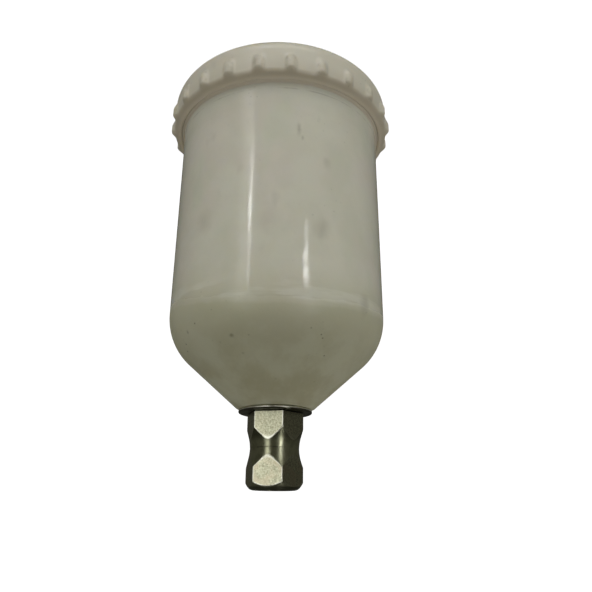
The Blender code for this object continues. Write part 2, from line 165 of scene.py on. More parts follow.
def spun(name, outline, steps, shape=None):
    """A closed solid turned about Z from a closed outline; shape(r, z, angle) may move a point."""
    verts = []
    faces = []
    count = len(outline)
    for i in range(steps):
        angle = TAU * i / steps
        for r, z in outline:
            if shape:
                r, z = shape(r, z, angle)
            verts.append((r * math.cos(angle), r * math.sin(angle), z))
    for i in range(steps):
        j = (i + 1) % steps
        for k in range(count):
            m = (k + 1) % count
            faces.append((i * count + k, i * count + m, j * count + m, j * count + k))
    return smooth_mesh(name, verts, faces)


def smooth_mesh(name, verts, faces, sharp_deg=50.0):
    """A mesh from points and faces, shaded smooth except at sharp edges."""
    mesh = bpy.data.meshes.new(name)
    mesh.from_pydata(verts, [], faces)
    shape = bmesh.new()
    shape.from_mesh(mesh)
    bmesh.ops.remove_doubles(shape, verts=shape.verts, dist=1e-7)
    bmesh.ops.dissolve_degenerate(shape, edges=shape.edges, dist=1e-8)
    bmesh.ops.recalc_face_normals(shape, faces=shape.faces)
    shape.to_mesh(mesh)
    shape.free()
    mesh.shade_smooth()
    mesh.set_sharp_from_angle(angle=math.radians(sharp_deg))
    return mesh


def temporary(mesh):
    """A helper object, removed once its mesh has been used."""
    tool = bpy.data.objects.new(mesh.name, mesh)
    bpy.context.scene.collection.objects.link(tool)
    return tool


def combined(base, tools, operation, sharp_deg=40.0):
    """The mesh of one Boolean of a base mesh with several tool meshes."""
    target = temporary(base)
    helpers = [temporary(tool) for tool in tools]
    for helper in helpers:
        modifier = target.modifiers.new(helper.name, "BOOLEAN")
        modifier.operation = operation
        modifier.solver = "EXACT"
        modifier.object = helper
    depsgraph = bpy.context.evaluated_depsgraph_get()
    mesh = bpy.data.meshes.new_from_object(target.evaluated_get(depsgraph))
    for obj in [target, *helpers]:
        bpy.data.objects.remove(obj)
    mesh.name = base.name
    mesh.shade_smooth()
    mesh.set_sharp_from_angle(angle=math.radians(sharp_deg))
    return mesh


def bevelled_box(name, size, centre, turn, width):
    """A box with rounded edges, turned about Z."""
    shape = bmesh.new()
    placing = Matrix.Translation(centre) @ Matrix.Rotation(turn, 4, "Z")
    bmesh.ops.create_cube(shape, size=1.0, matrix=Matrix.Diagonal((*size, 1.0)))
    bmesh.ops.bevel(shape, geom=shape.edges[:], offset=width, segments=4, profile=0.5, affect="EDGES")
    bmesh.ops.transform(shape, matrix=placing, verts=shape.verts)
    mesh = bpy.data.meshes.new(name)
    shape.to_mesh(mesh)
    shape.free()
    return mesh


def upright_cylinder(name, radius, bottom, top, x, y, steps=32):
    """A plain cylinder between two heights, used as a drill."""
    shape = bmesh.new()
    bmesh.ops.create_cone(
        shape,
        cap_ends=True,
        segments=steps,
        radius1=radius,
        radius2=radius,
        depth=top - bottom,
        matrix=Matrix.Translation((x, y, (bottom + top) / 2)),
    )
    mesh = bpy.data.meshes.new(name)
    shape.to_mesh(mesh)
    shape.free()
    return mesh


def helical_ridge(name, root_r, crest_r, start_z, turns):
    """A right-hand thread ridge whose two ends run out into the wall."""
    base_half = 0.9 * MM
    crest_half = 0.45 * MM
    run_out = 0.12
    steps = round(turns * 120)
    count = 6
    verts = []
    faces = []
    for i in range(steps + 1):
        along = i / steps * turns
        rise = min(1.0, along / run_out, (turns - along) / run_out)
        crest = root_r + (crest_r - root_r) * max(0.02, math.sin(rise * math.pi / 2))
        mid_r = root_r + (crest - root_r) * 0.85
        z = start_z + THREAD_PITCH * along
        section = [
            (root_r, -base_half),
            (mid_r, -crest_half - 0.1 * MM),
            (crest, -crest_half * 0.6),
            (crest, crest_half * 0.6),
            (mid_r, crest_half + 0.1 * MM),
            (root_r, base_half),
        ]
        angle = TAU * along
        for r, dz in section:
            verts.append((r * math.cos(angle), r * math.sin(angle), z + dz))
    for i in range(steps):
        for k in range(count):
            m = (k + 1) % count
            a = i * count
            faces.append((a + k, a + m, a + count + m, a + count + k))
    faces.append(tuple(range(count)))
    faces.append(tuple(steps * count + k for k in reversed(range(count))))
    return smooth_mesh(name, verts, faces)


def joined(name, meshes):
    """One mesh that holds several closed shells."""
    shape = bmesh.new()
    for mesh in meshes:
        shape.from_mesh(mesh)
    mesh = bpy.data.meshes.new(name)
    shape.to_mesh(mesh)
    shape.free()
    mesh.shade_smooth()
    mesh.set_sharp_from_angle(angle=math.radians(50.0))
    return mesh


# ---------------------------------------------------------------- material helpers
class Nodes:
    """A small builder for one material's node tree."""

    def __init__(self, name):
        self.material = bpy.data.materials.new(name)
        self.material.use_nodes = True
        self.tree = self.material.node_tree
        self.shader = self.tree.nodes["Principled BSDF"]
        coordinates = self.tree.nodes.new("ShaderNodeTexCoord")
        self.place = coordinates.outputs["Object"]

    def set(self, **values):
        """Constants for the shader's inputs; an underscore stands for a space."""
        for key, value in values.items():
            self.shader.inputs[key.replace("_", " ")].default_value = value

    def link(self, output, target):
        self.tree.links.new(output, target)

    def feed(self, target, value):
        """Links a socket, or sets a constant."""
        if isinstance(value, bpy.types.NodeSocket):
            self.link(value, target)
        else:
            target.default_value = value

    def mapped(self, scale=(1.0, 1.0, 1.0)):
        """The object's coordinates, scaled."""
        node = self.tree.nodes.new("ShaderNodeMapping")
        node.inputs["Scale"].default_value = scale
        self.link(self.place, node.inputs["Vector"])
        return node.outputs["Vector"]

    def noise(self, size, detail=3.0, rough=0.55, stretch=(1.0, 1.0, 1.0), warp=0.0, seed=0.0):
        """Noise whose blobs are about size metres across."""
        node = self.tree.nodes.new("ShaderNodeTexNoise")
        node.noise_dimensions = "4D"
        node.inputs["W"].default_value = seed
        node.inputs["Scale"].default_value = 0.5 / size
        node.inputs["Detail"].default_value = detail
        node.inputs["Roughness"].default_value = rough
        node.inputs["Distortion"].default_value = warp
        self.link(self.mapped(stretch), node.inputs["Vector"])
        return node.outputs["Fac"]

    def cells(self, size):
        """Distance to the nearest of many points about size metres apart."""
        node = self.tree.nodes.new("ShaderNodeTexVoronoi")
        node.inputs["Scale"].default_value = 1.0 / size
        self.link(self.mapped(), node.inputs["Vector"])
        return node.outputs["Distance"]

    def spread(self, value, low_in, high_in, low_out=0.0, high_out=1.0):
        """A smooth change from low_out to high_out as value goes from low_in to high_in."""
        node = self.tree.nodes.new("ShaderNodeMapRange")
        node.interpolation_type = "SMOOTHSTEP"
        self.link(value, node.inputs["Value"])
        node.inputs["From Min"].default_value = low_in
        node.inputs["From Max"].default_value = high_in
        node.inputs["To Min"].default_value = low_out
        node.inputs["To Max"].default_value = high_out
        return node.outputs["Result"]

    def maths(self, operation, a, b=0.0):
        node = self.tree.nodes.new("ShaderNodeMath")
        node.operation = operation
        self.feed(node.inputs[0], a)
        self.feed(node.inputs[1], b)
        return node.outputs["Value"]

    def chain(self, operation, first, *others):
        """One operation over several values, from left to right."""
        for other in others:
            first = self.maths(operation, first, other)
        return first

    def plus(self, *values):
        return self.chain("ADD", *values)

    def minus(self, *values):
        return self.chain("SUBTRACT", *values)

    def times(self, *values):
        return self.chain("MULTIPLY", *values)

    def greatest(self, *values):
        return self.chain("MAXIMUM", *values)

    def least(self, *values):
        return self.chain("MINIMUM", *values)

    def size(self, value):
        """The value without its sign."""
        return self.maths("ABSOLUTE", value)

    def mix(self, factor, a, b):
        """The colour a where factor is zero and b where it is one."""
        node = self.tree.nodes.new("ShaderNodeMix")
        node.data_type = "RGBA"
        self.feed(node.inputs["Factor"], factor)
        for index, value in ((6, a), (7, b)):
            if isinstance(value, tuple):
                value = (*value, 1.0)
            self.feed(node.inputs[index], value)
        return node.outputs[2]

    def axis(self, name):
        """The object's X, Y or Z coordinate."""
        node = self.tree.nodes.new("ShaderNodeSeparateXYZ")
        self.link(self.place, node.inputs["Vector"])
        return node.outputs[name]

    def radius(self):
        """Distance from the object's axis."""
        x = self.times(self.axis("X"), self.axis("X"))
        y = self.times(self.axis("Y"), self.axis("Y"))
        return self.maths("SQRT", self.plus(x, y))

    def near(self, place, radius, tall=1.0, seed=0.0):
        """One near a place and zero past a ragged edge; tall stretches the patch along Z."""
        offset = self.tree.nodes.new("ShaderNodeVectorMath")
        offset.operation = "SUBTRACT"
        self.link(self.place, offset.inputs[0])
        offset.inputs[1].default_value = place
        squash = self.tree.nodes.new("ShaderNodeVectorMath")
        squash.operation = "MULTIPLY"
        self.link(offset.outputs["Vector"], squash.inputs[0])
        squash.inputs[1].default_value = (1.0, 1.0, 1.0 / tall)
        length = self.tree.nodes.new("ShaderNodeVectorMath")
        length.operation = "LENGTH"
        self.link(squash.outputs["Vector"], length.inputs[0])
        ragged = self.times(self.noise(radius, 3.0, 0.6, seed=seed), radius)
        reach = self.plus(length.outputs["Value"], ragged)
        return self.spread(reach, 0.5 * radius, 1.4 * radius, 1.0, 0.0)

    def corners(self):
        """Convex edges, from the geometry's pointiness."""
        node = self.tree.nodes.new("ShaderNodeNewGeometry")
        return self.spread(node.outputs["Pointiness"], 0.52, 0.60)

    def bump(self, height, distance, strength, under=None):
        """A normal that follows a height, on top of another normal if one is given."""
        node = self.tree.nodes.new("ShaderNodeBump")
        node.inputs["Distance"].default_value = distance
        node.inputs["Strength"].default_value = strength
        self.link(height, node.inputs["Height"])
        if under:
            self.link(under, node.inputs["Normal"])
        return node.outputs["Normal"]

    def done(self, colour, roughness, normal):
        """Links the three results to the shader and gives the material."""
        for key, value in (("Base Color", colour), ("Roughness", roughness), ("Normal", normal)):
            self.link(value, self.shader.inputs[key])
        return self.material


# ---------------------------------------------------------------- materials
NYLON = (0.695, 0.677, 0.558)
NYLON_PINK = (0.70, 0.662, 0.562)
NYLON_GREEN = (0.665, 0.66, 0.535)
NYLON_SMUDGE = (0.42, 0.40, 0.32)
# Painted light for the cup's wall under the lid.
NYLON_PAINTED_LIGHT = (0.86, 0.845, 0.72)
# A dark line colour, for a broken line drawn on the wall below the lid.
NYLON_DARK_LINE = (0.36, 0.34, 0.26)
NYLON_IN_SHADE = (0.66, 0.58, 0.45)
LID_TINT = (0.66, 0.605, 0.495)
# Dirt with painted shade, for the underside of the lid's skirt.
UNDERSIDE_DIRT_AND_SHADE = (0.49, 0.435, 0.325)
# The stain colour also stands for painted shade where the wall turns into the shoulder.
STAIN_AND_SHADE = (0.50, 0.49, 0.335)
STAIN_RING = (0.78, 0.77, 0.66)
DEPOSIT = (0.40, 0.37, 0.23)
GRIME = (0.12, 0.11, 0.075)
# Grime with painted shade, for the grip ribs.
RIB_GRIME_AND_SHADE = (0.30, 0.27, 0.19)
MARK = (0.22, 0.20, 0.13)

DRAWN_STEEL = (0.62, 0.62, 0.445)
DRAWN_STEEL_DARK = (0.30, 0.295, 0.20)
DRAWN_STEEL_PINK = (0.52, 0.455, 0.32)
LATHE_STEEL = (0.60, 0.60, 0.42)
LATHE_STEEL_DARK = (0.44, 0.44, 0.29)
WAIST_SHADE = (0.14, 0.14, 0.085)
WITNESS_LINE = (0.16, 0.16, 0.10)
# Painted shade for the coupler's foot.
COUPLER_FOOT_SHADE = (0.10, 0.10, 0.07)
WORN_FLAT_EDGE = (0.90, 0.90, 0.76)
# Wear with a painted highlight, for the washer's top rim.
WORN_RIM_AND_HIGHLIGHT = (0.92, 0.91, 0.82)
WORN_CORNER = (0.62, 0.62, 0.52)
RUBBER_DUST = (0.10, 0.10, 0.095)

# Levels on the cup: the top of the dried paint, also the edge of painted shade at the shoulder; a dark line
# below the lid; and the top of the lid's painted shade, with painted light on the wall below it.
LEVEL_Z = 67.2 * MM
LEVEL_TILT_X = 0.03
LEVEL_TILT_Y = -0.15
LEVEL_WANDER = 4.0 * MM
DARK_LINE_Z = 144.6 * MM
LID_SHADE_Z = 146.6 * MM

# Scuffs and specks on the cup: x, y, z and radius in millimetres, height over width, strength.
CUP_MARKS = [
    (6.8, -41.6, 126.5, 1.5, 3.0, 0.38),
    (8.2, -41.4, 122.8, 0.9, 2.0, 0.30),
    (15.1, -39.4, 87.0, 5.5, 1.2, 0.24),
    (-4.4, -42.0, 88.5, 5.0, 1.8, 0.09),
    (-27.1, -32.3, 91.5, 6.0, 1.4, 0.15),
    (31.4, -28.3, 62.0, 4.5, 1.6, 0.26),
    (-15.5, -33.2, 48.6, 1.4, 1.0, 0.95),
    (-19.5, -29.5, 47.0, 0.8, 1.0, 0.90),
    (-31.7, -23.0, 52.5, 1.0, 1.3, 0.80),
    (-11.6, -29.0, 43.2, 0.9, 1.2, 0.85),
]


def nylon_base(n):
    """Milky nylon: soft pinkish and greenish clouds and a few faint smudges."""
    clouds = n.noise(12 * MM, 2.0, 0.5)
    tints = n.noise(7 * MM, 2.0, 0.5, stretch=(1.0, 1.0, 0.5), seed=3.0)
    colour = n.mix(n.spread(clouds, 0.42, 0.62), NYLON, NYLON_PINK)
    colour = n.mix(n.spread(tints, 0.50, 0.68), colour, NYLON_GREEN)
    smudges = n.noise(4.5 * MM, 2.0, 0.45, stretch=(1.0, 1.0, 0.6), seed=8.0)
    return n.mix(n.spread(smudges, 0.64, 0.80, 0.0, 0.45), colour, NYLON_SMUDGE)


def nylon_specks(n, colour, amount, size=2.2 * MM, low_z=None, high_z=None):
    """Sparse specks of dirt, denser in some patches, which fade out between two heights if given."""
    specks = n.spread(n.cells(size), 0.06, 0.16, 1.0, 0.0)
    patches = n.spread(n.noise(8 * MM, 2.0, 0.5, seed=7.0), 0.52, 0.66, 0.0, amount)
    factor = n.times(specks, patches)
    if high_z is not None:
        factor = n.times(factor, n.spread(n.axis("Z"), low_z, high_z, 1.0, 0.0))
    return n.mix(factor, colour, GRIME)


def nylon_finish(n, colour, smooth, dull, wave_height, ripple_height, worn=None):
    """Gloss with dull smears, and a skin that is never quite flat; worn adds roughness in places."""
    smears = n.noise(5 * MM, 4.0, 0.6, warp=0.6, seed=5.0)
    rough = n.spread(smears, 0.40, 0.60, smooth, dull)
    if worn is not None:
        rough = n.plus(rough, worn)
    scratches = n.noise(0.9 * MM, 2.0, 0.5, stretch=(1.0, 1.0, 0.08), seed=9.0)
    rough = n.plus(rough, n.spread(scratches, 0.60, 0.75, 0.0, 0.05))
    wave = n.bump(n.noise(8 * MM, 2.0, 0.5, stretch=(1.0, 1.0, 0.7), seed=2.0), wave_height, 0.5)
    ripple = n.bump(n.noise(1.8 * MM, 3.0, 0.6, seed=4.0), ripple_height, 0.5, under=wave)
    n.set(IOR=1.5, Subsurface_Weight=0.30, Subsurface_Scale=6.0 * MM, Subsurface_Radius=(1.0, 0.8, 0.5))
    return n.done(colour, rough, ripple)


def cup_nylon():
    """The cup: a paint stain below a tilted, wavering level line that is also painted shade at the
    shoulder, painted light and painted shade under the lid, a dark line, scuffs, and grit on the cone.
    """
    n = Nodes("cup_nylon_moulded")
    height = n.axis("Z")
    tilt = n.plus(n.times(n.axis("Y"), LEVEL_TILT_Y), n.times(n.axis("X"), LEVEL_TILT_X))
    wander = n.times(n.noise(9 * MM, 3.0, 0.6, stretch=(1.0, 1.0, 0.0), seed=11.0), LEVEL_WANDER)
    level = n.plus(height, tilt, wander)

    # Paint stain and painted shade: the wall darkens in a haze above the tilted level line and sharply
    # below it, where it turns into the shoulder.
    haze = n.spread(level, LEVEL_Z - 3.2 * MM, LEVEL_Z + 16.8 * MM, 0.60, 0.0)
    colour = n.mix(haze, nylon_base(n), STAIN_AND_SHADE)
    below = n.spread(level, LEVEL_Z - 1.4 * MM, LEVEL_Z, 0.62, 0.0)
    colour = n.mix(below, colour, STAIN_AND_SHADE)
    rings = n.noise(2.5 * MM, 3.0, 0.6, stretch=(0.15, 0.15, 1.0), seed=18.0)
    rings = n.spread(rings, 0.48, 0.60, 0.0, 0.5)
    rings_from = n.spread(level, LEVEL_Z, LEVEL_Z + 1.8 * MM)
    rings_to = n.spread(level, LEVEL_Z + 2.8 * MM, LEVEL_Z + 10.8 * MM, 1.0, 0.0)
    colour = n.mix(n.times(rings_from, rings_to, rings), colour, STAIN_RING)
    deposit = n.spread(n.noise(6 * MM, 4.0, 0.6, seed=14.0), 0.38, 0.62, 0.1, 0.75)
    low_part = n.spread(height, 34.0 * MM, 62.0 * MM, 1.0, 0.12)
    colour = n.mix(n.times(deposit, low_part), colour, DEPOSIT)

    # Painted light: the wall just under the lid is lightened against the shade that falls there.
    painted_light_under_lid = n.spread(height, LID_SHADE_Z - 9.6 * MM, LID_SHADE_Z + 0.2 * MM, 0.0, 0.6)
    colour = n.mix(painted_light_under_lid, colour, NYLON_PAINTED_LIGHT)
    # A broken dark line drawn on the wall a little below the lid.
    off_line = n.size(n.minus(height, DARK_LINE_Z))
    on_dark_line = n.spread(off_line, 0.1 * MM, 0.45 * MM, 1.0, 0.0)
    broken = n.spread(n.noise(5 * MM, 3.0, 0.6, seed=15.0), 0.45, 0.60, 0.0, 0.35)
    colour = n.mix(n.times(on_dark_line, broken), colour, NYLON_DARK_LINE)
    colour = n.mix(n.spread(height, LID_SHADE_Z, LID_SHADE_Z + MM), colour, NYLON_IN_SHADE)

    for index, (x, y, z, radius, tall, strength) in enumerate(CUP_MARKS):
        patch = n.near((x * MM, y * MM, z * MM), radius * MM, tall, 20.0 + index)
        colour = n.mix(n.times(patch, strength), colour, MARK)
    colour = nylon_specks(n, colour, 0.85, 3.0 * MM, 56.0 * MM, 64.0 * MM)
    colour = nylon_specks(n, colour, 0.15, 3.1 * MM)
    dried = n.spread(level, LEVEL_Z + 0.2 * MM, LEVEL_Z + 3.2 * MM, 0.30, 0.0)
    return nylon_finish(n, colour, 0.06, 0.13, 0.26 * MM, 0.16 * MM, dried)


def lid_nylon():
    """The lid: browner under its skirt from dirt and painted shade, lightened by painted light next to the
    cup's wall, with grime and painted shade on the sides and ends of the grip ribs.
    """
    n = Nodes("lid_nylon_moulded")
    radius = n.radius()
    height = n.plus(n.axis("Z"), n.times(n.noise(3 * MM, 2.0, 0.5, seed=12.0), 1.2 * MM))
    colour = n.mix(0.5, nylon_base(n), LID_TINT)
    # Dirt and painted shade: the skirt's underside turns brown, and a fainter brown fades up the band from
    # it.
    under = n.spread(height, LID_Z + 1.6 * MM, LID_Z + 3.8 * MM, 1.0, 0.0)
    colour = n.mix(under, colour, UNDERSIDE_DIRT_AND_SHADE)
    dust = n.spread(height, LID_Z + 2.6 * MM, LID_Z + 9.0 * MM, 0.30, 0.0)
    colour = n.mix(dust, colour, UNDERSIDE_DIRT_AND_SHADE)
    # Painted light: next to the cup's wall the brown underside is lightened, against the shade in the
    # crease.
    painted_light_by_wall = n.spread(radius, LID_SKIRT_R + 0.6 * MM, LID_SKIRT_R + 2.4 * MM, 0.9, 0.0)
    colour = n.mix(n.times(painted_light_by_wall, under), colour, NYLON_IN_SHADE)
    # Grime and painted shade on the flanks and ends of the grip ribs, darkest low on each rib.
    rib_foot = n.spread(radius, LID_BAND_R + 0.02 * MM, LID_BAND_R + 0.60 * MM)
    rib_side = n.spread(radius, LID_BAND_R + 0.60 * MM, LID_BAND_R + 1.40 * MM, 1.0, 0.45)
    dirt = n.spread(n.noise(1.6 * MM, 3.0, 0.65, seed=13.0), 0.42, 0.66, 0.0, 0.40)
    colour = n.mix(n.times(rib_foot, rib_side, dirt), colour, RIB_GRIME_AND_SHADE)
    colour = nylon_specks(n, colour, 0.35)
    return nylon_finish(n, colour, 0.30, 0.42, 0.08 * MM, 0.020 * MM)


def steel_material(name, base, film, grain_size=0.35 * MM, turned=0.0, worn_and_highlit_rim_z=None):
    """Plain steel with a brownish film, a fine grain, turning lines and bright worn edges; if a rim height
    is given, a band under it is brightened as wear and painted highlight.
    """
    n = Nodes(name)
    grain = n.noise(grain_size, 4.0, 0.7, seed=1.0)
    patches = n.noise(2.5 * MM, 3.0, 0.6, warp=0.5, seed=4.0)
    colour = n.mix(n.spread(grain, 0.35, 0.65), base, film)
    colour = n.mix(n.spread(patches, 0.45, 0.7, 0.0, 0.45), colour, film)
    colour = n.mix(n.corners(), colour, WORN_CORNER)
    # Wear and painted highlight: a thin band just under the given rim height is brightened.
    if worn_and_highlit_rim_z is not None:
        wear = n.spread(n.noise(2.0 * MM, 2.0, 0.6, seed=17.0), 0.30, 0.50, 0.45, 1.0)
        rim = n.spread(n.axis("Z"), worn_and_highlit_rim_z - 0.25 * MM, worn_and_highlit_rim_z)
        colour = n.mix(n.times(rim, wear), colour, WORN_RIM_AND_HIGHLIGHT)
    rough = n.plus(n.spread(grain, 0.3, 0.7, 0.29, 0.40), n.spread(patches, 0.4, 0.7, 0.0, 0.10))
    lines = n.noise(0.12 * MM, 2.0, 0.5, stretch=(0.01, 0.01, 1.0), seed=6.0)
    normal = n.bump(grain, 0.02 * MM, 0.5)
    normal = n.bump(lines, 0.015 * MM, 0.2 + turned, under=normal)
    n.set(Metallic=1.0)
    return n.done(colour, rough, normal)


def coupler_steel():
    """Hex bar: drawn flats with a fine grain and worn edges, and a waist left by the lathe."""
    n = Nodes("coupler_steel_turned")
    height = n.axis("Z")
    radius = n.radius()
    apothem = HEX_ACROSS_FLATS / 2
    reaches = []
    for k in range(3):
        turn = HEX_TURN + k * math.pi / 3
        along_x = n.times(n.axis("X"), math.cos(turn))
        along_y = n.times(n.axis("Y"), math.sin(turn))
        reaches.append(n.size(n.plus(along_x, along_y)))
    most = n.greatest(*reaches)
    second = n.minus(n.plus(*reaches), most, n.least(*reaches))
    flat = n.spread(most, apothem - 0.10 * MM, apothem - 0.03 * MM)
    turned = n.minus(1.0, flat)

    off_waist = n.minus(height, WAIST_Z)
    sag = n.maths("SQRT", n.minus(WAIST_ARC_R ** 2, n.times(off_waist, off_waist)))
    waist_r = n.minus(WAIST_R + WAIST_ARC_R, sag)
    end_r = n.plus(n.times(height, COUPLER_END_SLOPE), COUPLER_END_R)
    at_waist = n.spread(n.minus(waist_r, radius), 0.05 * MM, 0.28 * MM, 1.0, 0.0)
    at_corner = n.spread(second, apothem - 0.55 * MM, apothem - 0.15 * MM)
    at_end = n.spread(n.minus(end_r, radius), 0.30 * MM, 0.65 * MM, 1.0, 0.0)
    edge = n.times(flat, n.greatest(at_waist, at_corner, at_end))
    gripped = n.spread(n.minus(most, reaches[0]), 0.0, 0.03 * MM, 1.0, 0.2)
    wear = n.times(n.spread(n.noise(0.8 * MM, 2.0, 0.6, seed=16.0), 0.32, 0.55, 0.35, 1.0), gripped)

    grain = n.noise(0.27 * MM, 2.0, 0.8, seed=1.0)
    patches = n.noise(2.2 * MM, 3.0, 0.6, warp=0.5, seed=4.0)
    drawn = n.mix(n.spread(grain, 0.30, 0.70), DRAWN_STEEL, DRAWN_STEEL_DARK)
    pinkish = n.spread(height, 9.0 * MM, 15.0 * MM, 0.55, 0.15)
    drawn = n.mix(n.times(n.spread(patches, 0.40, 0.62), pinkish), drawn, DRAWN_STEEL_PINK)
    lathe = n.mix(n.spread(patches, 0.40, 0.70), LATHE_STEEL, LATHE_STEEL_DARK)
    lathe = n.mix(n.spread(off_waist, 1.5 * MM, 4.5 * MM, 0.0, 0.75), lathe, WAIST_SHADE)
    witness = n.spread(n.size(off_waist), 0.10 * MM, 0.30 * MM, 0.6, 0.0)
    lathe = n.mix(n.times(witness, wear), lathe, WITNESS_LINE)
    # Painted shade: the chamfer at the foot is darkened where it faces down.
    lathe = n.mix(n.spread(height, 0.7 * MM, 1.7 * MM, 0.8, 0.0), lathe, COUPLER_FOOT_SHADE)
    colour = n.mix(n.times(edge, wear), n.mix(flat, lathe, drawn), WORN_FLAT_EDGE)

    flat_rough = n.spread(grain, 0.30, 0.70, 0.29, 0.33)
    rough = n.plus(n.times(flat, flat_rough), n.times(turned, 0.37))
    lines = n.noise(0.10 * MM, 2.0, 0.5, stretch=(0.01, 0.01, 1.0), seed=6.0)
    normal = n.bump(n.times(grain, flat), 0.006 * MM, 0.5)
    normal = n.bump(n.times(lines, turned), 0.003 * MM, 0.4, under=normal)
    tangent = n.tree.nodes.new("ShaderNodeTangent")
    tangent.direction_type = "RADIAL"
    tangent.axis = "Z"
    n.link(tangent.outputs["Tangent"], n.shader.inputs["Tangent"])
    n.link(n.times(turned, 0.85), n.shader.inputs["Anisotropic"])
    n.set(Metallic=1.0, Anisotropic_Rotation=0.25)
    return n.done(colour, rough, normal)


def rubber_material(name, colour):
    """Black rubber with a little dust."""
    n = Nodes(name)
    dust = n.noise(1.5 * MM, 4.0, 0.65)
    tone = n.mix(n.spread(dust, 0.5, 0.8, 0.0, 0.5), colour, RUBBER_DUST)
    rough = n.spread(dust, 0.3, 0.7, 0.55, 0.8)
    return n.done(tone, rough, n.bump(n.noise(0.3 * MM, 3.0), 0.02 * MM, 0.5))


def trim_material(name, light, dark):
    """Satin nylon of the small pieces, clouded between two colours."""
    n = Nodes(name)
    clouds = n.noise(5 * MM, 4.0, 0.6)
    colour = n.mix(n.spread(clouds, 0.4, 0.7), light, dark)
    rough = n.spread(n.noise(2 * MM, 3.0, 0.6, seed=2.0), 0.3, 0.7, 0.32, 0.48)
    n.set(Subsurface_Weight=0.25, Subsurface_Scale=3.0 * MM)
    return n.done(colour, rough, n.bump(n.noise(0.4 * MM, 3.0), 0.01 * MM, 0.5))


CUP_NYLON = cup_nylon()
LID_NYLON = lid_nylon()
COUPLER_STEEL = coupler_steel()
# Painted shade: the washer's steel is made very dark, for the shade on its underside, and its top rim is
# brightened.
WASHER_STEEL = steel_material(
    "washer_steel_painted_shade",
    (0.15, 0.145, 0.10),
    (0.08, 0.075, 0.05),
    worn_and_highlit_rim_z=high("seat_washer") - 0.45 * MM,
)
STEM_STEEL = steel_material("stem_steel_turned", (0.55, 0.54, 0.48), (0.36, 0.34, 0.27), 0.4 * MM, 0.4)
CLIP_STEEL = steel_material("clip_steel_spring", (0.66, 0.66, 0.64), (0.45, 0.44, 0.40))
SCREEN_STEEL = steel_material("screen_steel_woven", (0.66, 0.66, 0.62), (0.45, 0.44, 0.38), 0.2 * MM)
GASKET_RUBBER = rubber_material("gasket_rubber_black", (0.025, 0.025, 0.025))
VALVE_RUBBER = rubber_material("valve_rubber_soft", (0.04, 0.038, 0.035))
TRIM_NYLON = trim_material("trim_nylon_white", (0.74, 0.73, 0.66), (0.60, 0.58, 0.49))
SHIELD_NYLON = trim_material("shield_nylon_natural", (0.68, 0.65, 0.55), (0.55, 0.52, 0.42))
SEAL_NYLON = trim_material("seal_nylon_white", (0.78, 0.77, 0.72), (0.66, 0.64, 0.57))


# ---------------------------------------------------------------- cup
def cone_radius(height, offset):
    """The cone's radius at a height, on a surface that lies offset inside the outer one."""
    start_r = CUP_R - SHOULDER_R + (SHOULDER_R - offset) * math.cos(CONE_ANGLE)
    start_z = SHOULDER_Z - (SHOULDER_R - offset) * math.sin(CONE_ANGLE)
    return start_r - (start_z - height) * math.tan(CONE_ANGLE)


def make_cup():
    base = low("cup_body")
    rim = high("cup_body")
    floor = base + CUP_FLOOR_H
    centre_r = CUP_R - SHOULDER_R
    cone_deg = -math.degrees(CONE_ANGLE)
    cone_top = SHOULDER_Z - SHOULDER_R * math.sin(CONE_ANGLE)
    cone_end = base + 0.8 * MM
    inner_top = CUP_TOP_R - CUP_WALL
    rim_round = 0.7 * MM
    bead_round = 0.5 * MM
    bead_foot = 0.2 * MM
    end_round = 0.6 * MM
    wall_top = NECK_BEAD_LOW - 0.6 * MM
    wall_rows = 24
    cone_rows = 9
    outline = arc(NECK_R - rim_round, rim - rim_round, rim_round, 90.0, 0.0)
    outline += [(NECK_R, NECK_Z + bead_foot), (NECK_R + bead_foot, NECK_Z)]
    outline += arc(NECK_BEAD_R - bead_round, NECK_Z - bead_round, bead_round, 90.0, 0.0, 4)
    outline += arc(NECK_BEAD_R - bead_foot, NECK_BEAD_LOW + bead_foot, bead_foot, 0.0, -90.0, 3)
    outline += arc(CUP_TOP_R + bead_round, NECK_BEAD_LOW - bead_round, bead_round, 90.0, 180.0, 5)
    for i in range(wall_rows):
        t = i / wall_rows
        z = wall_top + (SHOULDER_Z - wall_top) * t
        outline.append((CUP_TOP_R + (CUP_R - CUP_TOP_R) * t, z))
    outline += arc(centre_r, SHOULDER_Z, SHOULDER_R, 0.0, cone_deg, 28)
    for i in range(1, cone_rows + 1):
        z = cone_top + (cone_end - cone_top) * i / cone_rows
        outline.append((cone_radius(z, 0.0), z))
    outline += arc(CONE_END_R - 0.75 * MM, base + end_round, end_round, -30.0, -90.0, 4)
    outline += [(STEM_HOLE_R, base), (STEM_HOLE_R, floor)]
    outline += [(cone_radius(floor, CUP_WALL) - 1.0 * MM, floor)]
    outline += [(cone_radius(floor + 0.6 * MM, CUP_WALL), floor + 0.6 * MM)]
    outline += reversed(arc(centre_r, SHOULDER_Z, SHOULDER_R - CUP_WALL, 0.0, cone_deg, 20))
    outline += [(inner_top, rim - 0.6 * MM), (inner_top + 0.6 * MM, rim)]
    shell = spun("cup_body_moulded", outline, 192)
    thread = helical_ridge("cup_thread", NECK_R - 0.3 * MM, CUP_THREAD_R, CUP_THREAD_Z, 1.75)
    mesh = joined("cup_body_moulded", [shell, thread])
    return link(mesh.name, mesh, CUP_NYLON, "cup", "cup_body")


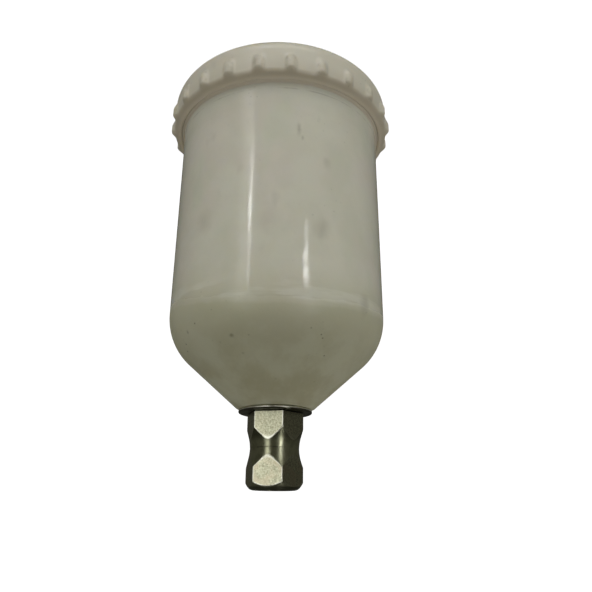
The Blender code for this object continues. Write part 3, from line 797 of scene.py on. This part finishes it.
# ---------------------------------------------------------------- lid
def grip_shape(r, z, angle):
    """Raised ribs: each has a narrow crest and soft sides, and fades out above and below."""
    if r <= LID_BAND_R - 1.5 * MM:
        return r, z
    step = 360.0 / GRIP_RIB_COUNT
    turned_deg = math.degrees(angle - GRIP_RIB_PHASE)
    off_deg = abs((turned_deg + step / 2) % step - step / 2)
    arch = 1.0 - smoothstep((off_deg - 0.5) / 3.1)
    height = z - LID_Z
    rise = smoothstep((height - 0.6 * MM) / (2.6 * MM))
    end = 1.0 - smoothstep((height - 5.6 * MM) / (4.8 * MM))
    return r + (GRIP_RIB_R - LID_BAND_R) * arch * rise * end, z


def hanging_ring(ceiling, inner_r, outer_r, depth, bevel):
    """The outline of a ring that hangs from the lid's ceiling, from its outer side to its inner."""
    foot = ceiling - depth
    return [
        (outer_r, ceiling),
        (outer_r, foot + bevel),
        (outer_r - bevel, foot),
        (inner_r + bevel, foot),
        (inner_r, foot + bevel),
        (inner_r, ceiling),
    ]


def make_lid():
    top = high("lid") - BOSS_H
    boss_top = high("lid")
    ceiling = top - LID_PLATE
    bore = DIAL_SHANK_R + 0.1 * MM
    groove = 5.0 * MM
    boss_round = 0.5 * MM
    edge_r = LID_BAND_R - LID_EDGE_R
    band_top = top - LID_EDGE_R
    band_low = LID_Z + LID_FOOT_R
    plate_steps = 8
    band_rows = 36
    outline = [(bore, top - boss_round), (groove, top - boss_round)]
    outline += [(groove, boss_top - 0.2 * MM), (groove + 0.2 * MM, boss_top)]
    outline += arc(BOSS_R - boss_round, boss_top - boss_round, boss_round, 90.0, 0.0, 5)
    outline += [(BOSS_R, top + boss_round), (BOSS_R + 0.15 * MM, top + 0.15 * MM)]
    outline += [(BOSS_R + boss_round, top)]
    outline += [(BOSS_R + (edge_r - BOSS_R) * i / plate_steps, top) for i in range(1, plate_steps)]
    outline += arc(edge_r, band_top, LID_EDGE_R, 90.0, 0.0, 16)
    outline += [(LID_BAND_R, band_top + (band_low - band_top) * i / band_rows) for i in range(1, band_rows)]
    outline += arc(LID_BAND_R - LID_FOOT_R, band_low, LID_FOOT_R, 0.0, -90.0, 12)
    outline += [(LID_SKIRT_R + 0.12 * MM, LID_Z + 0.14 * MM), (LID_SKIRT_R, LID_Z + 0.5 * MM)]
    outline += [(LID_SKIRT_R, ceiling)]
    outline += hanging_ring(ceiling, 38.0 * MM, 39.5 * MM, 3.6 * MM, 0.4 * MM)
    outline += hanging_ring(ceiling, 10.5 * MM, 12.0 * MM, 5.7 * MM, 0.3 * MM)
    outline += [(9.4 * MM, ceiling), (9.4 * MM, ceiling - 3.2 * MM)]
    outline += [(8.6 * MM, ceiling - 3.2 * MM), (8.6 * MM, ceiling), (bore, ceiling)]
    shell = spun("lid_moulded", outline, GRIP_RIB_COUNT * 22, grip_shape)
    low_end = ceiling - MM
    hole = upright_cylinder("lid_vent_hole", VENT_HOLE_R, low_end, boss_top + MM, VENT_HOLE_OFFSET, 0.0)
    shell = combined(shell, [hole], "DIFFERENCE", 50.0)
    thread_z = CUP_THREAD_Z + THREAD_PITCH / 2
    thread = helical_ridge("lid_thread", LID_SKIRT_R + 0.3 * MM, LID_THREAD_R, thread_z, 1.5)
    mesh = joined("lid_moulded", [shell, thread])
    return link(mesh.name, mesh, LID_NYLON, "lid_group", "lid")


# ---------------------------------------------------------------- coupler
def thread_wave(z, angle):
    """Height over a screw thread's root, from 0 to 1, at a place on a turned surface."""
    turn = (z / COUPLER_THREAD_PITCH - angle / TAU) % 1.0
    return 1.0 - abs(2.0 * turn - 1.0)


def make_coupler():
    height = high("hex_coupler")
    apothem = HEX_ACROSS_FLATS / 2
    end_fillet = 1.6 * MM
    end_inset = 0.7 * MM
    mouth = 0.1 * MM
    outside = 12.0 * MM
    outer_rows = 190
    socket_rows = 120

    def turned_r(z):
        """The lathe's cut: the waist, its witness line and the chamfer of the lower end."""
        reach = WAIST_ARC_R ** 2 - (z - WAIST_Z) ** 2
        waist = WAIST_R + WAIST_ARC_R - math.sqrt(reach) if reach > 0.0 else outside
        broken_edge = 0.8 * MM * math.exp(-z / (0.2 * MM))
        chamfer = COUPLER_END_R + COUPLER_END_SLOPE * z - broken_edge
        witness = 0.10 * MM * math.exp(-((z - WAIST_Z) / (0.14 * MM)) ** 2)
        return soft_min([waist, chamfer, 11.6 * MM], 0.05 * MM) - witness

    def hexagon(r, z, angle):
        """The socket's thread inside, and six flats cut back to the lathe's surface outside."""
        if r < apothem - 1.0 * MM:
            if z < SOCKET_DEPTH - 0.4 * MM:
                r += 0.55 * MM * thread_wave(z, angle) * smoothstep(z / COUPLER_THREAD_PITCH)
            return r, z
        end_share = min(1.0, max(0.0, (end_fillet - z) / end_fillet))
        inset = end_inset * (1.0 - math.sqrt(1.0 - end_share ** 2))
        sides = [turned_r(z)]
        for k in range(6):
            away = math.cos(angle - HEX_TURN - k * math.pi / 3)
            if away > 0.3:
                sides.append((apothem - inset) / away)
        worn = 0.12 * MM * smoothstep((3.6 * MM - z) / (2.4 * MM))
        return min(r, soft_min(sides, 0.035 * MM + worn)), z

    outline = [(STEM_HOLE_R, height), (8.4 * MM, height), (apothem - 0.9 * MM, height)]
    outline += [(outside, height * (1 - i / outer_rows)) for i in range(outer_rows + 1)]
    outline += [(SOCKET_R + 0.8 * MM, 0.0)]
    for i in range(socket_rows + 1):
        outline.append((SOCKET_R, mouth + (SOCKET_DEPTH - mouth) * i / socket_rows))
    outline += [(BORE_R, SOCKET_DEPTH), (BORE_R, STEM_SOCKET_Z), (STEM_HOLE_R, STEM_SOCKET_Z)]
    mesh = spun("hex_coupler_turned", outline, 360, hexagon)
    mesh.set_sharp_from_angle(angle=math.radians(38.0))
    return link(mesh.name, mesh, COUPLER_STEEL, "cup", "hex_coupler")


# ---------------------------------------------------------------- washers, seals and screw
def make_ring(name, node, outer_r, inner_r, fillet, material, body, slot, steps):
    """A flat ring with rounded edges, between its CAD node's ends."""
    z0 = low(node)
    z1 = high(node)
    corners = [
        (inner_r, z1, fillet / 2),
        (outer_r, z1, fillet),
        (outer_r, z0, fillet),
        (inner_r, z0, fillet / 2),
    ]
    mesh = spun(name, rounded(corners), steps)
    return link(name, mesh, material, body, node)


def make_o_ring():
    z0 = low("vent_o_ring")
    z1 = high("vent_o_ring")
    wire_r = (z1 - z0) / 2
    outline = arc(4.0 * MM, (z0 + z1) / 2, wire_r, 90.0, -270.0, 20)[:-1]
    mesh = spun("vent_o_ring_round", outline, 64)
    return link(mesh.name, mesh, VALVE_RUBBER, "lid_group", "vent_o_ring")


def make_stem():
    """Hollow screw with a slotted head and a rolled thread on its shank."""
    z0 = low("outlet_stem")
    z1 = high("outlet_stem")
    head = z1 - 2.5 * MM
    head_r = 11.0 * MM
    shank_r = 7.0 * MM
    shank = head - z0 - 0.6 * MM
    rows = 130

    def threaded(r, z, angle):
        if z < head - 1.5 * MM and r > 6.0 * MM:
            r -= 0.5 * MM * thread_wave(z, angle)
        return r, z

    outline = [(BORE_R, z1), (10.4 * MM, z1), (10.85 * MM, z1 - 0.2 * MM)]
    outline += [(head_r, z1 - 0.6 * MM), (head_r, head), (shank_r, head)]
    outline += [(shank_r, head - shank * i / rows) for i in range(1, rows + 1)]
    outline += [(6.3 * MM, z0), (BORE_R, z0)]
    shaft = spun("outlet_stem_screw", outline, 96, threaded)
    slot = bevelled_box("stem_slot", (33.0 * MM, 3.0 * MM, 2.4 * MM), (0.0, 0.0, z1), 0.0, 0.1 * MM)
    mesh = combined(shaft, [slot], "DIFFERENCE")
    return link(mesh.name, mesh, STEM_STEEL, "cup", "outlet_stem")


# ---------------------------------------------------------------- vent
def make_dial():
    z_top = high("vent_dial")
    z_end = low("vent_dial")
    under = high("lid") + 0.3 * MM
    plate = under + 1.7 * MM
    plate_r = 9.5 * MM
    groove_r = 2.2 * MM
    groove_top = under - 4.4 * MM
    groove_low = groove_top - 1.5 * MM
    corners = [
        (AXIS_R, plate, 0.0),
        (plate_r, plate, 0.5 * MM),
        (plate_r, under, 0.2 * MM),
        (DIAL_SHANK_R, under, 0.1 * MM),
        (DIAL_SHANK_R, groove_top, 0.05 * MM),
        (groove_r, groove_top, 0.05 * MM),
        (groove_r, groove_low, 0.05 * MM),
        (DIAL_SHANK_R, groove_low, 0.1 * MM),
        (2.6 * MM, z_end, 0.2 * MM),
        (AXIS_R, z_end, 0.0),
    ]

    def ribbed(r, z, angle):
        if r > 9.0 * MM:
            r -= 0.25 * MM * (0.5 + 0.5 * math.cos(36 * angle))
        return r, z

    cap = spun("vent_dial_moulded", rounded(corners, 5), 216, ribbed)
    bar_height = z_top - under - 0.7 * MM
    centre = (0.0, 0.0, z_top - bar_height / 2)
    bar = bevelled_box("dial_grip", (14.2 * MM, 3.6 * MM, bar_height), centre, 0.0, 0.6 * MM)
    mesh = combined(cap, [bar], "UNION")
    hole = upright_cylinder("dial_vent_hole", VENT_HOLE_R, under - MM, plate + MM, 0.0, -VENT_HOLE_OFFSET)
    mesh = combined(mesh, [hole], "DIFFERENCE")
    return link("vent_dial_moulded", mesh, TRIM_NYLON, "dial_group", "vent_dial")


def make_clip():
    z0 = low("vent_retainer")
    z1 = high("vent_retainer")
    inner_r = 2.4 * MM
    outer_r = 5.2 * MM
    corners = [
        (inner_r, z1, 0.1 * MM),
        (outer_r, z1, 0.2 * MM),
        (outer_r, z0, 0.2 * MM),
        (inner_r, z0, 0.1 * MM),
    ]
    disc = spun("vent_retainer_clip", rounded(corners), 72)
    centre = (4.5 * MM, 0.0, (z0 + z1) / 2)
    mouth = bevelled_box("clip_mouth", (6.0 * MM, 4.0 * MM, 3.0 * MM), centre, 0.0, 0.3 * MM)
    mesh = combined(disc, [mouth], "DIFFERENCE")
    return link(mesh.name, mesh, CLIP_STEEL, "dial_group", "vent_retainer")


def make_shield():
    z0 = low("drip_shield")
    z1 = high("drip_shield")
    floor = z0 + 1.5 * MM
    outer_r = 13.6 * MM
    inner_r = 12.3 * MM
    hole_count = 6
    hole_circle = 8.0 * MM
    corners = [
        (AXIS_R, floor, 0.0),
        (inner_r, floor, 0.4 * MM),
        (inner_r, z1, 0.2 * MM),
        (outer_r, z1, 0.3 * MM),
        (outer_r, z0, 1.0 * MM),
        (AXIS_R, z0, 0.0),
    ]
    cap = spun("drip_shield_cap", rounded(corners, 5), 96)
    holes = []
    for i in range(hole_count):
        x = hole_circle * math.cos(TAU * i / hole_count)
        y = hole_circle * math.sin(TAU * i / hole_count)
        holes.append(upright_cylinder(f"shield_hole_{i}", 1.5 * MM, z0 - MM, floor + MM, x, y))
    mesh = combined(cap, holes, "DIFFERENCE")
    return link("drip_shield_cap", mesh, SHIELD_NYLON, "lid_group", "drip_shield")


def make_check_disc():
    z0 = low("drip_check_disc")
    z1 = high("drip_check_disc")
    disc_r = 9.8 * MM
    corners = [(AXIS_R, z1, 0.0), (disc_r, z1, 0.3 * MM), (disc_r, z0, 0.3 * MM), (AXIS_R, z0, 0.0)]
    mesh = spun("drip_check_disc_soft", rounded(corners, 5), 96)
    return link(mesh.name, mesh, VALVE_RUBBER, "check_valve", "drip_check_disc")


# ---------------------------------------------------------------- strainer
def make_strainer_frame():
    z0 = low("filter_frame")
    z1 = high("filter_frame")
    flange_low = z0 + 10.0 * MM
    flange_top = flange_low + 1.2 * MM
    cap_low = flange_low + 40.0 * MM
    cap_top = cap_low + 2.0 * MM
    bore_r = 3.5 * MM
    collar_r = 4.4 * MM
    flange_r = 8.0 * MM
    knob_r = 2.2 * MM
    cap_r = 7.2 * MM
    corners = [
        (bore_r, flange_top, 0.2 * MM),
        (flange_r, flange_top, 0.3 * MM),
        (flange_r, flange_low, 0.3 * MM),
        (collar_r, flange_low, 0.2 * MM),
        (collar_r, z0 + 0.6 * MM, 0.2 * MM),
        (collar_r - 0.5 * MM, z0, 0.1 * MM),
        (bore_r, z0, 0.1 * MM),
    ]
    collar = spun("filter_frame_moulded", rounded(corners), 72)
    cap_corners = [
        (AXIS_R, z1, 0.0),
        (knob_r, z1, 0.9 * MM),
        (knob_r, cap_top, 0.5 * MM),
        (cap_r, cap_top, 0.5 * MM),
        (cap_r, cap_low, 0.2 * MM),
        (AXIS_R, cap_low, 0.0),
    ]
    tools = [spun("strainer_cap", rounded(cap_corners), 72)]
    rib_span = 1.1 * MM
    for k in range(4):
        angle = math.pi / 4 + k * math.pi / 2
        reach = 6.0 * MM + rib_span / 2
        centre = (reach * math.cos(angle), reach * math.sin(angle), (flange_top + cap_low) / 2)
        size = (rib_span, 1.4 * MM, cap_low - flange_top + 0.8 * MM)
        tools.append(bevelled_box(f"strainer_rib_{k}", size, centre, angle, 0.25 * MM))
    mesh = combined(collar, tools, "UNION")
    return link("filter_frame_moulded", mesh, TRIM_NYLON, "strainer", "filter_frame")


def make_screen():
    """Woven tube: a grid of wires round the strainer's ribs."""
    z0 = low("filter_screen")
    z1 = high("filter_screen")
    radius = 5.5 * MM
    columns = 56
    rows = 62
    verts = []
    faces = []
    for j in range(rows + 1):
        z = z0 + 0.1 * MM + (z1 - z0 - 0.2 * MM) * j / rows
        for i in range(columns):
            a = TAU * i / columns
            verts.append((radius * math.cos(a), radius * math.sin(a), z))
    for j in range(rows):
        for i in range(columns):
            k = (i + 1) % columns
            faces.append((j * columns + i, j * columns + k, (j + 1) * columns + k, (j + 1) * columns + i))
    sheet = temporary(smooth_mesh("filter_screen_woven", verts, faces))
    wires = sheet.modifiers.new("wires", "WIREFRAME")
    wires.thickness = 0.18 * MM
    wires.use_even_offset = False
    depsgraph = bpy.context.evaluated_depsgraph_get()
    mesh = bpy.data.meshes.new_from_object(sheet.evaluated_get(depsgraph))
    bpy.data.objects.remove(sheet)
    return link("filter_screen_woven", mesh, SCREEN_STEEL, "strainer", "filter_screen")


# Piece, CAD node, outer and inner radius, rounding, material, body, slot and sides.
RINGS = [
    ("seat_washer_steel", "seat_washer", 14.0 * MM, STEM_HOLE_R, 0.6 * MM,
     WASHER_STEEL, "cup", "washer_steel", 144),
    ("stem_seal_nylon", "stem_seal", 10.8 * MM, STEM_HOLE_R, 0.3 * MM,
     SEAL_NYLON, "cup", "seal_nylon", 96),
    ("coupler_seal_nylon", "coupler_seal", 6.3 * MM, 4.8 * MM, 0.3 * MM,
     SEAL_NYLON, "cup", "seal_nylon", 64),
    ("lid_gasket_rubber", "lid_gasket", 43.2 * MM, 40.0 * MM, 0.4 * MM,
     GASKET_RUBBER, "gasket_ring", "gasket_rubber", 192),
]

make_cup()
make_lid()
make_coupler()
for ring in RINGS:
    make_ring(*ring)
make_stem()
make_o_ring()
make_dial()
make_clip()
make_shield()
make_check_disc()
make_strainer_frame()
make_screen()


# ---------------------------------------------------------------- stage, lights and camera
WHITE = (1.0, 1.0, 1.0)
WARM = (1.0, 0.99, 0.93)
AIR = (1.0, 1.0, 0.83)
AIR_STRENGTH = 0.06
SWEEP_R = 6.0
FLOOR_Z = -0.12
LIGHT_AIM = Vector((0.0, 0.0, 0.09))
CAMERA_PLACE = (0.0, -0.2273, -0.0080)
CAMERA_FORWARD = (0.03114, 0.93815, 0.34482)
CAMERA_ROLL = math.radians(0.45)
CAMERA_LENS = 36.1

# What each lamp lights, its name, azimuth, elevation, distance, size, power and colour. The soft
# ones give the tone, and the narrow windows and strips give the streaks on the cup and the steel.
LAMPS = [
    ("diffuse", "key_above", 0.0, 48.0, 1.6, (1.6, 1.2), 9.3, WHITE),
    ("diffuse", "fill_below", 15.0, -42.0, 2.0, (3.0, 3.0), 15.2, WHITE),
    ("diffuse", "fill_left", -106.0, -14.0, 2.0, (2.5, 2.5), 13.0, WHITE),
    ("diffuse", "fill_right", 106.0, -14.0, 2.0, (2.5, 2.5), 14.5, WHITE),
    ("diffuse", "fill_back", 180.0, 20.0, 2.0, (2.5, 2.5), 13.0, WHITE),
    ("both", "ceiling", 0.0, 62.0, 1.6, (1.3, 0.5), 5.5, WHITE),
    ("both", "window_left", -30.3, 22.0, 1.5, (0.05, 0.26), 0.19, WHITE),
    ("both", "window_left_top", -30.2, 33.5, 1.5, (0.03, 0.15), 0.05, WHITE),
    ("both", "window_left_pane_high", -30.3, 32.2, 1.5, (0.035, 0.05), 0.13, WHITE),
    ("both", "window_left_pane", -30.5, 28.2, 1.5, (0.045, 0.09), 0.28, WHITE),
    ("both", "door_left", -37.5, 28.0, 1.5, (0.28, 0.95), 0.85, WARM),
    ("both", "strip_right", 29.0, 23.4, 1.5, (0.045, 0.16), 0.18, WHITE),
    ("both", "strip_right_pane", 29.1, 21.9, 1.5, (0.05, 0.06), 0.18, WHITE),
    ("both", "strip_right_end", 28.4, 18.0, 1.5, (0.09, 0.10), 0.09, WHITE),
    ("both", "window_back", 178.0, 28.0, 1.5, (0.20, 0.90), 1.0, WHITE),
    ("glossy", "door_left_low", -33.0, -3.0, 1.6, (0.50, 0.62), 2.15, WHITE),
    ("glossy", "strip_right_low", 28.0, -9.0, 1.6, (0.25, 0.45), 3.2, WHITE),
]


def glowing_material(name, colour, strength):
    """An even, softly glowing surface for the stage."""
    material = bpy.data.materials.new(name)
    material.use_nodes = True
    shader = material.node_tree.nodes["Principled BSDF"]
    shader.inputs["Base Color"].default_value = (*colour, 1.0)
    shader.inputs["Roughness"].default_value = 0.9
    shader.inputs["Emission Color"].default_value = (*colour, 1.0)
    shader.inputs["Emission Strength"].default_value = strength
    return material


def make_stage():
    """Pale floor that curves up into a pale wall behind, seen by the camera only."""
    shape = bmesh.new()
    bmesh.ops.create_uvsphere(shape, u_segments=64, v_segments=32, radius=SWEEP_R)
    for vert in shape.verts:
        vert.co.z = max(vert.co.z, FLOOR_Z)
    bmesh.ops.reverse_faces(shape, faces=shape.faces)
    mesh = bpy.data.meshes.new("studio_sweep")
    shape.to_mesh(mesh)
    shape.free()
    mesh.shade_smooth()
    sweep = bpy.data.objects.new("studio_sweep", mesh)
    bpy.context.scene.collection.objects.link(sweep)
    mesh.materials.append(glowing_material("studio_white", WHITE, 1.0))
    sweep.visible_diffuse = False
    sweep.visible_glossy = False
    sweep.visible_transmission = False
    sweep.visible_shadow = False


def area_light(name, azimuth, elevation, distance, size, power, colour):
    """A soft light seen from the object at an azimuth (0 is the camera's side, + to the right)."""
    a = math.radians(azimuth)
    e = math.radians(elevation)
    away = Vector((math.sin(a) * math.cos(e), -math.cos(a) * math.cos(e), math.sin(e)))
    light = bpy.data.lights.new(name, "AREA")
    light.shape = "RECTANGLE"
    light.size = size[0]
    light.size_y = size[1]
    light.energy = power
    light.color = colour
    lamp = bpy.data.objects.new(name, light)
    bpy.context.scene.collection.objects.link(lamp)
    lamp.location = LIGHT_AIM + away * distance
    lamp.rotation_euler = (-away).to_track_quat("-Z", "Y").to_euler()
    return lamp


def make_lights():
    world = bpy.data.worlds.new("studio_air")
    bpy.context.scene.world = world
    world.use_nodes = True
    air = world.node_tree.nodes["Background"]
    air.inputs["Color"].default_value = (*AIR, 1.0)
    air.inputs["Strength"].default_value = AIR_STRENGTH
    for reach, *values in LAMPS:
        lamp = area_light(*values)
        lamp.visible_glossy = reach != "diffuse"
        lamp.visible_diffuse = reach != "glossy"


def make_camera():
    forward = Vector(CAMERA_FORWARD).normalized()
    right = forward.cross(Vector((0.0, 0.0, 1.0))).normalized()
    up = right.cross(forward)
    tilted_up = up * math.cos(CAMERA_ROLL) - right * math.sin(CAMERA_ROLL)
    tilted_right = forward.cross(tilted_up)
    data = bpy.data.cameras.new("camera")
    data.sensor_width = 36.0
    data.lens = CAMERA_LENS
    data.clip_start = 0.01
    data.clip_end = 50.0
    camera = bpy.data.objects.new("camera", data)
    bpy.context.scene.collection.objects.link(camera)
    turn = Matrix((tilted_right, tilted_up, -forward)).transposed().to_4x4()
    camera.matrix_world = Matrix.Translation(CAMERA_PLACE) @ turn
    bpy.context.scene.camera = camera


make_stage()
make_lights()
make_camera()
bpy.context.scene.view_settings.view_transform = "Standard"
